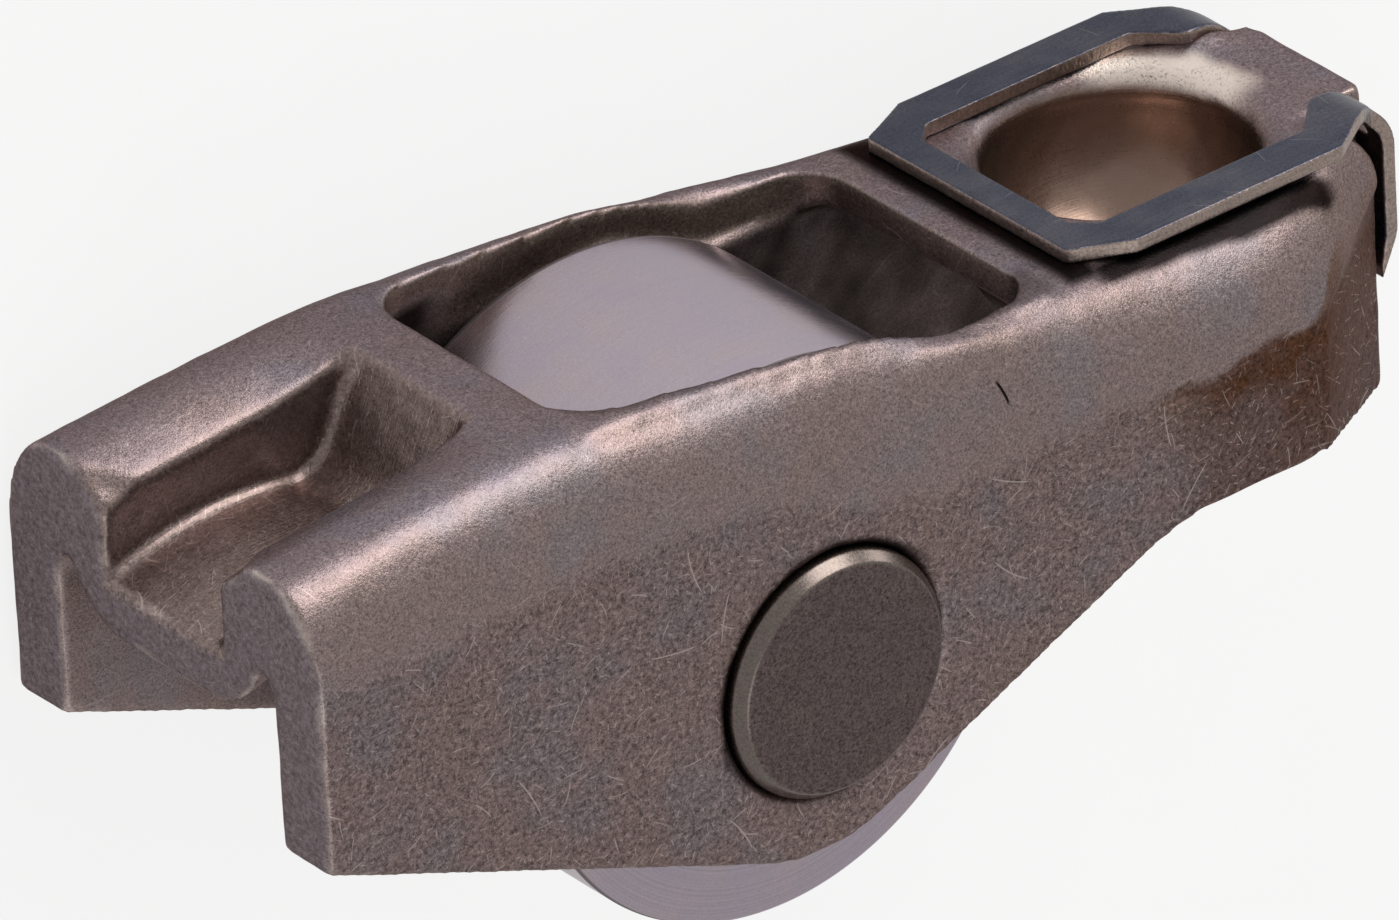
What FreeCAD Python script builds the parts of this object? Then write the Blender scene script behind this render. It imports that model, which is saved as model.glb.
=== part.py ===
import FreeCAD, Part
import math
import os
from FreeCAD import Vector

# A roller finger follower: the rocker arm that sits between a cam, a valve and a lash adjuster.
# One formed sheet-steel arm carries an axle, and a roller turns on it on loose needle rollers.
# A sprung sheet clip on the arm holds the ball head of the lash adjuster in its socket.
#
# The part lies on its side, as it comes to rest. X runs along the arm, from the valve end
# towards the socket end. Y is the side of the arm with the valve pad and the socket, and Z
# is the axle's own direction. The origin is the middle of the axle. All sizes are in mm.

# Axle, roller and needles
axle_radius = 4.5
axle_proud = 0.5              # each axle end stands this far out of its wall
axle_end_chamfer = 0.36       # across the end face
axle_end_chamfer_length = 0.47
roller_radius = 10.3
roller_side_play = 0.4        # between each side of the roller and the arm's inner wall
roller_edge_rounding = 0.3
needle_radius = 0.825
needle_play = 0.02            # between a needle and each race
needle_set_back = 0.2         # a needle end lies this far inside the roller's side
needle_end_rounding = 0.3

# The arm's sheet and its width
arm_half_width = 8.35
wall = 2.6                    # side walls
web = 2.0                     # the face between them, thinned by drawing
bore_chamfer = 0.3

# Lengths along the arm, each from the axle or from the feature before it
pad_distance = 16.2           # axle to the crown of the valve pad
pad_to_front = 5.1            # crown of the pad to the arm's front end
pad_to_slope = 3.7            # crown of the pad to the foot of the slot's end wall
slope_run = 2.0               # the slot's end wall leans back by this much
bridge_length = 2.4           # the band of web between the slot and the window
ball_distance = 19.7          # axle to the ball socket
window_to_ball = 8.5          # the window's rear edge to the ball socket
ball_to_facet = 1.7           # the ball socket to the start of the tapered rear faces
ball_to_rear = 7.8            # the ball socket to the rear face
nose_step = 0.25              # the nose stands this far behind the rear face

# Heights above the axle's centre line
front_height = 11.35          # top of the two lobes beside the slot at the front end
bridge_height = 12.0
hip_height = 10.8             # where the top line starts to drop, above the axle
platform_height = 9.1         # the flat round the ball socket
pad_height = 8.3              # crown of the valve pad
front_low = 1.05              # lower corner of the walls at the front end
belly_height = -7.2           # where the two straight lower edges would meet
tail_low = -0.35              # lower edge of the walls below the ball socket
nose_low = -2.05              # lower edge of the rear face

# Places of the top line's and the lower edge's turns
hip_x = 2.45
knee_x = 6.7
belly_x = -0.65
tail_x = 14.9
belly_radius = 7.0
tail_radius = 8.0

# The rounded shoulders between the top and the side walls. Below each one, a shallow crease
# borders the flat that the press leaves on the wall.
front_shoulder_in = 2.6
hip_shoulder_in = 2.3
knee_shoulder_in = 1.5
rear_shoulder_in = 4.0
tail_shoulder_in = 1.8
crest_run = 0.8               # beside the window, the top climbs to the shoulder over this width
crest_settle = 8.2            # and this far before the ball socket it lies flat again
crease_high = 7.8             # height of the crease over the front half
crease_low = 4.85             # and beside the ball socket
crease_fall_start = -6.0
crease_fall_end = 6.0
shoulder_settle = 1.0         # the rear shoulder has its full width this far before the ball socket
shoulder_lean = 0.15          # the wall above the crease leans in by this
pull_up = 0.62                # fullness of a rounding, as a share of its height
pull_in = 0.5                 # and as a share of its width

# The slot that holds the valve pad
slot_half_width = 3.1
pad_crown_radius = 14.0
slot_corner = 0.5
foot_rounding = 1.6           # the bend at the foot of the slot's end wall
tub_floor = 2.1               # sheet under the pad
tub_side = 2.2                # sheet at the slot's sides
tub_rounding = 3.2
fold_top = 7.9                # top of the narrow gap between the slot's side and the wall
fold_rounding = 1.5           # the wall bends over into the top of the gap
fold_run = 1.4                # the gap goes on this far past the foot of the slot's end wall
lobe_roll_in = 2.5            # each lobe's top falls towards the slot over this width
lobe_roll_down = 1.1          # and by this much
lobe_pull = 0.3               # fullness of that fall
lobe_bevel = 1.4              # the small flat at each lobe's front inner corner, along the slot
lobe_bevel_in = 1.4           # and across the lobe
lobe_bevel_top = 0.25         # its outer corner lies this far under the lobe's top
lobe_bevel_down = 0.3         # and how much lower it makes the inner corner
lobe_bevel_reach = 1.3        # its tool goes past its own corners in this ratio

# The window above the roller
window_front_half = 5.55
window_hip_half = 6.2
window_rear_half = 5.9
window_corner = 1.8
window_side_rounding = 6.0    # where the window's sides bend
hip_rounding = 3.0            # bends of the web's underside below the hip and the knee
knee_rounding = 2.0
bridge_web = 2.3              # sheet at the band between the slot and the window
window_edge = 1.45            # height of the pierced edge
edge_land = 0.3               # the web stays that thin this far past the window
edge_slope = 1.2              # and then thickens over this length

# The ball socket
ball_radius = 4.65
socket_rim = 1.2              # rounding of the socket's mouth
socket_sheet = 1.6            # sheet round the socket

# The rear end
facet_angle = 35.8            # the tapered faces, measured from the arm's length
facet_top = 5.0               # above this height the tapered corner bulges
facet_top_rise = 0.11         # the border climbs by this for each mm along the tapered face
bulge_proud = 0.25            # the bulge stands this far out of the flat
bulge_turn = 4.5              # and goes round the corner with this radius
rear_rounding = 3.6           # the drawn bend between the platform and the rear face
hollow_rounding = 1.2         # the same bend inside
nose_half_width = 2.9
nose_bend = 0.6
nose_foot_rounding = 0.5
lip_reach = 0.5               # the nose's top sticks out past its front by this
lip_depth = 1.5               # down to this far below the platform
lip_corner = 0.8

# The clip
clip_sheet = 0.55
clip_front_to_ball = 6.7      # the clip's front edge to the ball socket
clip_half_width = 6.3
clip_hole_half = 4.55
clip_front_bar = 1.3
clip_corner = 1.1             # bevel of the clip's front corners, across
clip_corner_run = 2.3         # and along
clip_hole_corner = 0.75
clip_shoulder = 4.5           # the ball socket to the place where the side bars turn inwards
clip_turn_run = 2.1           # the bars turn inwards over this length
clip_neck = 1.0               # and then stand this far outside the strap
clip_hole_lead = 0.2          # their inner edges turn this far before their outer ones
clip_hole_run = 1.4           # and over this length
clip_edge_rounding = 0.3      # small corners of the clip's plan
clip_bar_rounding = 0.6       # larger ones
clip_hump_run = 2.1           # the bars rise over the arm's rear edge along this length
clip_rise = 0.1               # by this much
clip_drop = 1.65              # and then fall by this before they turn down
clip_hump_rounding = 1.5
strap_half_width = 3.9
strap_gap = 0.2               # between the strap and the nose
strap_bend = 1.3
strap_slot_depth = 1.8        # the nose shows in a slot that reaches this far down the strap
strap_slot_play = 0.2
strap_bottom = 2.3            # where the strap turns in to touch the nose
strap_turn = 1.3              # height over which it turns in
strap_turn_rounding = 0.8
strap_tip_up = 0.25           # the cut end of the strap, on the nose
strap_tip_down = 0.35

# Places that follow from the sizes above
front_x = -(pad_distance + pad_to_front)
slope_foot_x = -(pad_distance - pad_to_slope)
slope_top_x = slope_foot_x + slope_run
window_front_x = slope_top_x + bridge_length
window_rear_x = ball_distance - window_to_ball
facet_x = ball_distance + ball_to_facet
rear_x = ball_distance + ball_to_rear
nose_x = rear_x + nose_step
lip_x = nose_x + lip_reach
taper = math.radians(facet_angle)
bulge_x = facet_x + bulge_proud / math.sin(taper)
inner_half_width = arm_half_width - wall
roller_half_width = inner_half_width - roller_side_play
race_radius = axle_radius + 2 * needle_radius + 2 * needle_play
needle_circle = axle_radius + needle_radius + needle_play
far_out = 40.0                # cutting tools reach this far past the part
spare = 1.0                   # and this far past an end that they only have to clear
overlap = 0.05                # tools that meet a surface cross it by this
station_count = 31            # cross-sections that shape the arm's outside


def corner_arc(before, corner, after, radius):
    """Start, middle and end of the arc that rounds one corner of a path."""
    to_before = (before - corner).normalize()
    to_after = (after - corner).normalize()
    half = to_before.getAngle(to_after) / 2
    start = corner + to_before * (radius / math.tan(half))
    end = corner + to_after * (radius / math.tan(half))
    inward = (to_before + to_after).normalize()
    middle = corner + inward * (radius / math.sin(half) - radius)
    return start, middle, end


def rounded_loop(points):
    """A closed face outline from corners (x, y, radius) in the XY plane."""
    corners = [Vector(x, y, 0) for x, y, radius in points]
    stops = []
    for i, (x, y, radius) in enumerate(points):
        before, after = corners[i - 1], corners[(i + 1) % len(corners)]
        if radius:
            stops.append(corner_arc(before, corners[i], after, radius))
        else:
            stops.append((corners[i],))
    edges = []
    for i, stop in enumerate(stops):
        following = stops[(i + 1) % len(stops)]
        if len(stop) == 3:
            edges.append(Part.Arc(*stop).toShape())
        if (following[0] - stop[-1]).Length > 1e-6:
            edges.append(Part.LineSegment(stop[-1], following[0]).toShape())
    return Part.Wire(edges)


def across(points, half_width):
    """A side outline made solid across the arm, as wide on both sides of the middle."""
    face = Part.Face(rounded_loop(points))
    face.translate(Vector(0, 0, -half_width))
    return face.extrude(Vector(0, 0, 2 * half_width))


def upwards(points, low, high):
    """A plan outline (x, z, radius), given for one side, mirrored and made solid in height."""
    mirrored = [(x, -z, radius) for x, z, radius in reversed(points)]
    face = Part.Face(rounded_loop(points + mirrored))
    face.rotate(Vector(0, 0, 0), Vector(1, 0, 0), 90)
    face.translate(Vector(0, low, 0))
    return face.extrude(Vector(0, high - low, 0))


def bent(start, start_pull, end_pull, end):
    """A curved edge that leaves each end towards its pull point."""
    curve = Part.BezierCurve()
    curve.setPoles([start, start_pull, end_pull, end])
    return curve.toShape()


def straight(stops):
    """Straight edges from stop to stop."""
    return [Part.LineSegment(a, b).toShape() for a, b in zip(stops, stops[1:])]


def shoulder_section(x, top, crest, half, shoulder_in, crease, base):
    """The arm's outer cross-section at one place along it, rounded at both shoulders."""
    flat, full = half - shoulder_in, crease + pull_up * (crest - crease)
    inner, ease = flat - crest_run, pull_in * crest_run

    def side(sign):
        wall_top = Vector(x, crease, sign * half)
        brow = Vector(x, crest, sign * flat)
        rim = Vector(x, top, sign * inner)
        shoulder = bent(wall_top, Vector(x, full, sign * (half - shoulder_lean)),
                        Vector(x, crest, sign * (flat + pull_in * shoulder_in)), brow)
        climb = bent(brow, Vector(x, crest, sign * (flat - ease)),
                     Vector(x, top, sign * (inner + ease)), rim)
        return [shoulder, climb]

    edges = straight([Vector(x, base, half), Vector(x, base, -half), Vector(x, crease, -half)])
    edges += side(-1)
    edges += straight([Vector(x, top, -inner), Vector(x, top, inner)])
    edges += reversed(side(1))
    edges += straight([Vector(x, crease, half), Vector(x, base, half)])
    return Part.Wire(edges)


def top_line(x):
    """Height of the arm's top at one place along it."""
    bridge_x = (slope_top_x + window_front_x) / 2
    if x <= bridge_x:
        share = (x - front_x) / (bridge_x - front_x)
        return front_height + (bridge_height - front_height) * math.sin(share * math.pi / 2)
    if x <= hip_x:
        share = (x - bridge_x) / (hip_x - bridge_x)
        return bridge_height + (hip_height - bridge_height) * share
    if x <= knee_x:
        share = (x - hip_x) / (knee_x - hip_x)
        return hip_height + (platform_height - hip_height) * (1 - math.cos(share * math.pi)) / 2
    return platform_height


def side_outline():
    """The arm seen from the side: the walls' lower edge, the rear face and the bend above it."""
    fall = (belly_height - front_low) / (belly_x - front_x)
    return [(front_x - far_out, front_low - fall * far_out, 0),
            (belly_x, belly_height, belly_radius),
            (tail_x, tail_low, tail_radius),
            (facet_x, tail_low, 0),
            (rear_x, nose_low, 0),
            (rear_x + overlap, nose_low, 0),
            (rear_x + overlap, platform_height + overlap, rear_rounding),
            (ball_distance, platform_height + overlap, 0),
            (ball_distance, far_out, 0),
            (front_x - far_out, far_out, 0)]


def eased(x, start, end, low, high):
    """A value that goes smoothly from low at one place along the arm to high at another."""
    share = min(max((x - start) / (end - start), 0.0), 1.0)
    return low + (high - low) * share * share * (3 - 2 * share)


def crest_line(x):
    """Height of the shoulders at one place: beside the window they fall more gently than the top."""
    end = ball_distance - crest_settle
    if x <= hip_x or x >= end:
        return top_line(x)
    left = (end - x) / (end - hip_x)
    return platform_height + (hip_height - platform_height) * left ** 2


def shoulder_width(x):
    """How far in the shoulder reaches at one place along the arm."""
    full_x = ball_distance - shoulder_settle
    if x < hip_x:
        return eased(x, window_front_x, hip_x, front_shoulder_in, hip_shoulder_in)
    if x < knee_x:
        return eased(x, hip_x, knee_x, hip_shoulder_in, knee_shoulder_in)
    if x < full_x:
        return eased(x, knee_x, full_x, knee_shoulder_in, rear_shoulder_in)
    return eased(x, full_x, rear_x, rear_shoulder_in, tail_shoulder_in)


def outer_half(x):
    """Half the arm's outer width at one place: the walls, a rounded corner, the tapered bulge."""
    reach = bulge_turn * math.tan(taper / 2)
    start, end = bulge_x - reach, bulge_x + reach * math.cos(taper)
    if x <= start:
        return arm_half_width
    if x < end:
        return arm_half_width - bulge_turn + math.sqrt(bulge_turn ** 2 - (x - start) ** 2)
    return arm_half_width - (x - bulge_x) * math.tan(taper)


def outer_block():
    """The arm's outside before anything is cut: shoulders along the top, curved lower edge."""
    sections = []
    for i in range(station_count):
        x = front_x + (rear_x - front_x) * i / (station_count - 1.0)
        crease = eased(x, crease_fall_start, crease_fall_end, crease_high, crease_low)
        sections.append(shoulder_section(x, top_line(x), crest_line(x), outer_half(x),
                                         shoulder_width(x), crease, belly_height - spare))
    block = Part.makeLoft(sections, True, False)
    return block.common(across(side_outline(), far_out))


def along_facet(corners, inset, rise):
    """A cutter with one cross-section (height, out), carried along the tapered rear side."""
    points = [Vector(-far_out, height - far_out * rise, out - inset) for height, out in corners]
    face = Part.Face(Part.makePolygon(points + points[:1]))
    cutter = face.extrude(Vector(2 * far_out, 2 * far_out * rise, 0))
    cutter.rotate(Vector(0, 0, 0), Vector(0, 1, 0), facet_angle)
    cutter.translate(Vector(facet_x, 0, arm_half_width))
    return cutter


def facet_cutter():
    """What lies outside the tapered flat on one side, up to the ledge below the bulge."""
    deep = -2 * far_out
    corners = [(deep, 0), (facet_top, 0), (facet_top + far_out, far_out), (deep, far_out)]
    return along_facet(corners, 0, facet_top_rise)


def inner_facet_cutter():
    """What lies outside the inner face of the tapered wall."""
    corners = [(-far_out, 0), (far_out, 0), (far_out, far_out), (-far_out, far_out)]
    return along_facet(corners, wall, 0)


def both_sides(shape):
    """The shape and its mirror image across the arm's middle plane."""
    return [shape, shape.mirror(Vector(0, 0, 0), Vector(0, 0, 1))]


def slot_foot(centre, foot, along, radius):
    """The rounding between the slot's crowned floor and its end wall: start, middle, end."""
    inward = Vector(-along.y, along.x, 0)
    reach = pad_crown_radius + radius
    start = foot + inward * radius - centre
    half = start.dot(along)
    up = -half + math.sqrt(half ** 2 - start.Length ** 2 + reach ** 2)
    middle = centre + start + along * up
    on_floor = centre + (middle - centre) * (pad_crown_radius / reach)
    on_wall = middle - inward * radius
    low = ((on_floor - middle) + (on_wall - middle)).normalize()
    return on_floor, middle + low * radius, on_wall


def slot_side_outline(drop, back, rounding):
    """Side outline of the slot, or of the sheet under it when lowered and set back."""
    centre = Vector(-pad_distance, pad_height - drop - pad_crown_radius, 0)

    def floor(x):
        return Vector(x, centre.y + math.sqrt(pad_crown_radius ** 2 - (x - centre.x) ** 2), 0)

    foot = floor(slope_foot_x) + Vector(back, 0, 0)
    top = Vector(slope_top_x + back, bridge_height + overlap, 0)
    bend = slot_foot(centre, foot, (top - foot).normalize(), rounding)
    start = floor(front_x - spare)
    edges = [Part.Arc(start, floor(centre.x), bend[0]).toShape(), Part.Arc(*bend).toShape()]
    edges += straight([bend[2], top, Vector(top.x, far_out, 0), Vector(start.x, far_out, 0), start])
    return Part.Wire(edges)


def slot_body(drop, back, half_width, foot, rounding):
    """The slot's hollow, or the tub of sheet round it, with its lower edges rounded."""
    face = Part.Face(slot_side_outline(drop, back, foot))
    face.translate(Vector(0, 0, -half_width))
    body = face.extrude(Vector(0, 0, 2 * half_width))
    lower = []
    for edge in body.Edges:
        box = edge.BoundBox
        if box.ZLength < overlap and box.XLength > overlap and box.YMax < bridge_height + spare:
            lower.append(edge)
    return body.makeFillet(rounding, lower)


def lobe_roll():
    """What the lobes lose where their tops fall towards the slot, less and less towards its end."""
    inner, outer = slot_half_width - overlap, slot_half_width + lobe_roll_in
    start = front_x - spare
    sections = []
    for share in (0.0, 0.4, 0.7, 0.88, 1.0):
        x = start + share * (slope_top_x - start)
        top = top_line(max(x, front_x)) + overlap
        down = (lobe_roll_down + overlap) * (1 - share ** 5) + overlap
        high = bridge_height + spare
        over, under = Vector(0, 0, lobe_pull * lobe_roll_in), Vector(0, lobe_pull * down, 0)
        left = [Vector(x, high, -outer), Vector(x, top, -outer), Vector(x, top - down, -inner)]
        right = [Vector(x, top - down, inner), Vector(x, top, outer), Vector(x, high, outer)]
        edges = straight(left[:2])
        edges.append(bent(left[1], left[1] + over, left[2] + under, left[2]))
        edges += straight([left[2], right[0]])
        edges.append(bent(right[0], right[0] + under, right[1] - over, right[1]))
        edges += straight([right[1], right[2], left[0]])
        sections.append(Part.Wire(edges))
    return Part.makeLoft(sections, True, False)


def lobe_bevel_tool():
    """The corner that the small flat takes off a lobe's front inner edge."""
    low = front_height - lobe_roll_down
    corners = [Vector(front_x, front_height - lobe_bevel_top, slot_half_width + lobe_bevel_in),
               Vector(front_x + lobe_bevel, low, slot_half_width),
               Vector(front_x, low - lobe_bevel_down, slot_half_width)]
    middle = (corners[0] + corners[1] + corners[2]) * (1 / 3.0)
    corners = [middle + (corner - middle) * lobe_bevel_reach for corner in corners]
    corners.append(middle + Vector(0, far_out, 0))
    faces = []
    for skipped in range(4):
        a, b, c = [corner for i, corner in enumerate(corners) if i != skipped]
        faces.append(Part.Face(Part.makePolygon([a, b, c, a])))
    return Part.Solid(Part.Shell(faces))


def under_line(depth):
    """Corners of a line that runs at one depth below the arm's top, along the window."""
    return [(hip_x, hip_height - depth, hip_rounding),
            (knee_x, platform_height - depth, knee_rounding)]


def fold_filler():
    """The wall's bend at the top of the narrow gap beside the slot, on one side."""
    corner = Vector(front_x - spare, fold_top, inner_half_width)
    low, inner = corner - Vector(0, fold_rounding, 0), corner - Vector(0, 0, fold_rounding)
    short = fold_rounding * (1 - math.sqrt(0.5))
    edges = [Part.Arc(low, corner - Vector(0, short, short), inner).toShape()]
    edges += straight([inner, inner + Vector(0, overlap, 0), corner + Vector(0, overlap, overlap),
                       low + Vector(0, 0, overlap), low])
    return Part.Face(Part.Wire(edges)).extrude(Vector(slope_foot_x + fold_run - corner.x, 0, 0))


def channel():
    """The hollow between the walls, open below and at the front, with the tub left standing."""
    outline = [(front_x - far_out, fold_top, 0),
               (slope_foot_x + fold_run, fold_top, 0),
               (window_front_x - bridge_length / 4, bridge_height - bridge_web, 0)]
    outline += under_line(window_edge - overlap)
    outline += [(window_rear_x + edge_land, platform_height - window_edge + overlap, 0),
                (window_rear_x + edge_land + edge_slope, platform_height - web, 0),
                (rear_x - wall, platform_height - web, hollow_rounding),
                (rear_x - wall, -far_out, 0),
                (front_x - far_out, -far_out, 0)]
    hollow = across(outline, inner_half_width)
    tub = slot_body(tub_floor, tub_side, slot_half_width + tub_side, foot_rounding + tub_side, tub_rounding)
    hollow = hollow.cut([tub] + both_sides(fold_filler()))
    for cutter in both_sides(inner_facet_cutter()):
        hollow = hollow.cut(cutter)
    return hollow


def window():
    """The opening above the roller, no deeper than the web's pierced edge."""
    plan = [(window_front_x, window_front_half, window_corner),
            (hip_x - window_edge, window_hip_half, window_side_rounding),
            (knee_x, window_hip_half, window_side_rounding),
            (window_rear_x, window_rear_half, window_corner)]
    opening = upwards(plan, 0, far_out)
    depth = [(window_front_x - spare, bridge_height - 2 * window_edge, 0)] + under_line(window_edge)
    depth += [(window_rear_x + spare, platform_height - window_edge, 0),
              (window_rear_x + spare, far_out, 0), (window_front_x - spare, far_out, 0)]
    return opening.common(across(depth, far_out))


def turned(points, centre_x):
    """A profile (radius, height) turned about the upright line through the socket."""
    solid = Part.Face(Part.Wire(points)).revolve(Vector(0, 0, 0), Vector(0, 1, 0), 360)
    solid.translate(Vector(centre_x, 0, 0))
    return solid


def socket_hollow():
    """The ball socket with its rounded mouth."""
    centre = platform_height - socket_rim
    low = Vector(0, centre - ball_radius, 0)
    edge = Vector(ball_radius, centre, 0)
    diagonal = ball_radius * math.sqrt(0.5)
    crest = platform_height + overlap
    mouth = Vector(ball_radius + socket_rim, crest, 0)
    turn = socket_rim * (1 - math.sqrt(0.5))
    above = platform_height + spare
    edges = [Part.Arc(low, Vector(diagonal, centre - diagonal, 0), edge).toShape(),
             Part.Arc(edge, Vector(ball_radius + turn, crest - turn, 0), mouth).toShape()]
    edges += straight([mouth, Vector(mouth.x, above, 0), Vector(0, above, 0), low])
    return turned(edges, ball_distance)


def socket_boss():
    """The drawn cup that hangs below the platform round the socket."""
    centre = platform_height - socket_rim
    outer = ball_radius + socket_sheet
    ball = Part.makeSphere(outer, Vector(ball_distance, centre, 0))
    low = centre - outer - spare
    half = inner_half_width + spare / 2
    keep = Part.makeBox(4 * outer, platform_height - web / 2 - low, 2 * half,
                        Vector(ball_distance - 2 * outer, low, -half))
    return ball.common(keep)


def nose():
    """The web's tongue, bent down over the middle of the rear end."""
    start = rear_x - wall
    outline = [(start, nose_low, 0),
               (nose_x, nose_low, nose_foot_rounding),
               (nose_x, platform_height - lip_depth, 0),
               (lip_x, platform_height - lip_depth + lip_reach, 0),
               (lip_x, platform_height, nose_bend),
               (start, platform_height, 0)]
    plan = [(start - spare, nose_half_width, 0), (lip_x, nose_half_width, lip_corner)]
    return across(outline, nose_half_width).common(upwards(plan, -far_out, far_out))


def axle_bore():
    """The hole through both walls, with a chamfer at each outer face."""
    bore = Part.makeCylinder(axle_radius, 2 * far_out, Vector(0, 0, -far_out), Vector(0, 0, 1))
    cone = Part.makeCone(axle_radius, axle_radius + 2 * bore_chamfer, 2 * bore_chamfer,
                         Vector(0, 0, arm_half_width - bore_chamfer), Vector(0, 0, 1))
    for piece in both_sides(cone):
        bore = bore.fuse(piece)
    return bore


def make_arm():
    """The formed sheet-steel arm, one solid."""
    arm = outer_block()
    for cutter in both_sides(facet_cutter()):
        arm = arm.cut(cutter)
    arm = arm.cut(lobe_roll())
    for tool in both_sides(lobe_bevel_tool()):
        arm = arm.cut(tool)
    arm = arm.cut(channel())
    arm = arm.fuse([socket_boss(), nose()])
    arm = arm.cut(slot_body(0, 0, slot_half_width, foot_rounding, slot_corner))
    arm = arm.cut(window())
    arm = arm.cut(socket_hollow())
    arm = arm.cut(axle_bore())
    return arm.removeSplitter()


def make_axle():
    """The axle, pressed into both walls, with a chamfer round each end."""
    half = arm_half_width + axle_proud
    end = axle_radius - axle_end_chamfer
    side = half - axle_end_chamfer_length
    corners = [Vector(0, -half, 0), Vector(end, -half, 0), Vector(axle_radius, -side, 0),
               Vector(axle_radius, side, 0), Vector(end, half, 0), Vector(0, half, 0)]
    face = Part.Face(Part.makePolygon(corners + corners[:1]))
    axle = face.revolve(Vector(0, 0, 0), Vector(0, 1, 0), 360)
    axle.rotate(Vector(0, 0, 0), Vector(1, 0, 0), 90)
    return axle


def make_roller():
    """The outer ring that the cam runs on."""
    start = Vector(0, 0, -roller_half_width)
    ring = Part.makeCylinder(roller_radius, 2 * roller_half_width, start, Vector(0, 0, 1))
    rims = [edge for edge in ring.Edges if edge.BoundBox.ZLength < 0.01]
    ring = ring.makeFillet(roller_edge_rounding, rims)
    race = Part.makeCylinder(race_radius, 2 * far_out, Vector(0, 0, -far_out), Vector(0, 0, 1))
    return ring.cut(race)


def make_needle(angle):
    """One loose needle roller at an angle round the axle."""
    half = roller_half_width - needle_set_back
    needle = Part.makeCylinder(needle_radius, 2 * half, Vector(needle_circle, 0, -half), Vector(0, 0, 1))
    ends = [edge for edge in needle.Edges if edge.BoundBox.ZLength < 0.01]
    needle = needle.makeFillet(needle_end_rounding, ends)
    needle.rotate(Vector(0, 0, 0), Vector(0, 0, 1), angle)
    return needle


def outer_path(path, sheet):
    """The outer face of a bent sheet, from the path (x, y, radius) of its inner face."""
    points = [Vector(x, y, 0) for x, y, radius in path]
    steps = [(b - a).normalize() for a, b in zip(points, points[1:])]
    outs = [Vector(-step.y, step.x, 0) for step in steps]
    outer = []
    for i, (point, (x, y, radius)) in enumerate(zip(points, path)):
        before, after = outs[max(i - 1, 0)], outs[min(i, len(outs) - 1)]
        moved = point + (before + after) * (sheet / (1 + before.dot(after)))
        turns_down = before.dot(steps[min(i, len(steps) - 1)]) < 0
        outer.append((moved.x, moved.y, radius + (sheet if turns_down else 0)))
    return outer


def strip_outline():
    """The clip's bent strip seen from the side: the flat frame, the hump and the rear strap."""
    start = ball_distance - clip_front_to_ball
    turn = ball_distance + clip_shoulder
    inside = nose_x + strap_gap
    path = [(start, platform_height, 0),
            (turn, platform_height, clip_hump_rounding),
            (turn + clip_hump_run, platform_height + clip_rise, clip_hump_rounding),
            (inside, platform_height + clip_rise - clip_drop, strap_bend),
            (inside, strap_bottom + strap_turn, strap_turn_rounding)]
    tip = [(nose_x, strap_bottom + strap_tip_up, 0), (nose_x, strap_bottom - strap_tip_down, 0)]
    outer = outer_path(path + tip[:1], clip_sheet)
    return path + tip + outer[-2::-1]


def make_clip():
    """The retaining clip: one piece of spring steel, cut to its plan outline and pierced."""
    strip = across(strip_outline(), clip_half_width)
    start = ball_distance - clip_front_to_ball
    turn = ball_distance + clip_shoulder
    neck = turn + clip_turn_run
    end = rear_x + 2 * spare
    plan = [(start, clip_half_width - clip_corner, clip_edge_rounding),
            (start + clip_corner_run, clip_half_width, clip_edge_rounding),
            (turn, clip_half_width, clip_bar_rounding),
            (neck, strap_half_width + clip_neck, clip_bar_rounding),
            (rear_x, strap_half_width, clip_bar_rounding),
            (end, strap_half_width, 0)]
    body = strip.common(upwards(plan, strap_bottom - spare, far_out))
    slot_half = nose_half_width + strap_slot_play
    hole_front = start + clip_front_bar
    hole = [(hole_front, clip_hole_half - clip_hole_corner, clip_edge_rounding),
            (hole_front + clip_hole_corner, clip_hole_half, clip_edge_rounding),
            (turn - clip_hole_lead, clip_hole_half, clip_bar_rounding),
            (turn - clip_hole_lead + clip_hole_run, slot_half, clip_bar_rounding),
            (end, slot_half, 0)]
    return body.cut(upwards(hole, platform_height - strap_slot_depth, far_out))


def needle_count():
    """As many needles as fit round the axle without touching."""
    return int(math.pi / math.asin((needle_radius + needle_play / 2) / needle_circle))


def save(name, shape):
    """Check one piece and write it as its own file."""
    if shape.ShapeType == "Compound" and len(shape.Solids) == 1:
        shape = shape.Solids[0]
    shape.exportStep(os.path.join("parts", name + ".step"))
    print(name, "solids", len(shape.Solids), "valid", shape.isValid(), "volume", round(shape.Volume, 1))


def main():
    """Make every piece of the rocker arm."""
    os.makedirs("parts", exist_ok=True)
    save("arm", make_arm())
    save("axle", make_axle())
    save("roller", make_roller())
    save("retaining_clip", make_clip())
    count = needle_count()
    for i in range(count):
        save("needle_%02d" % (i + 1), make_needle(i * 360.0 / count))


main()
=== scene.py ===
# %% [markdown]
# # A roller finger follower
#
# This is the small steel rocker arm that sits between a cam, a valve and its lash adjuster in a
# car engine. The real one is a sheet-steel arm, drawn and pierced in a press, with an axle pressed
# through it, a hardened roller on loose needles, and a sprung clip over the ball socket.
#
# The first step loads the finished construction as a fixed frame. Everything made below sits on
# it, in metres, in the same place, so nothing needs fitting by eye.

import math

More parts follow.
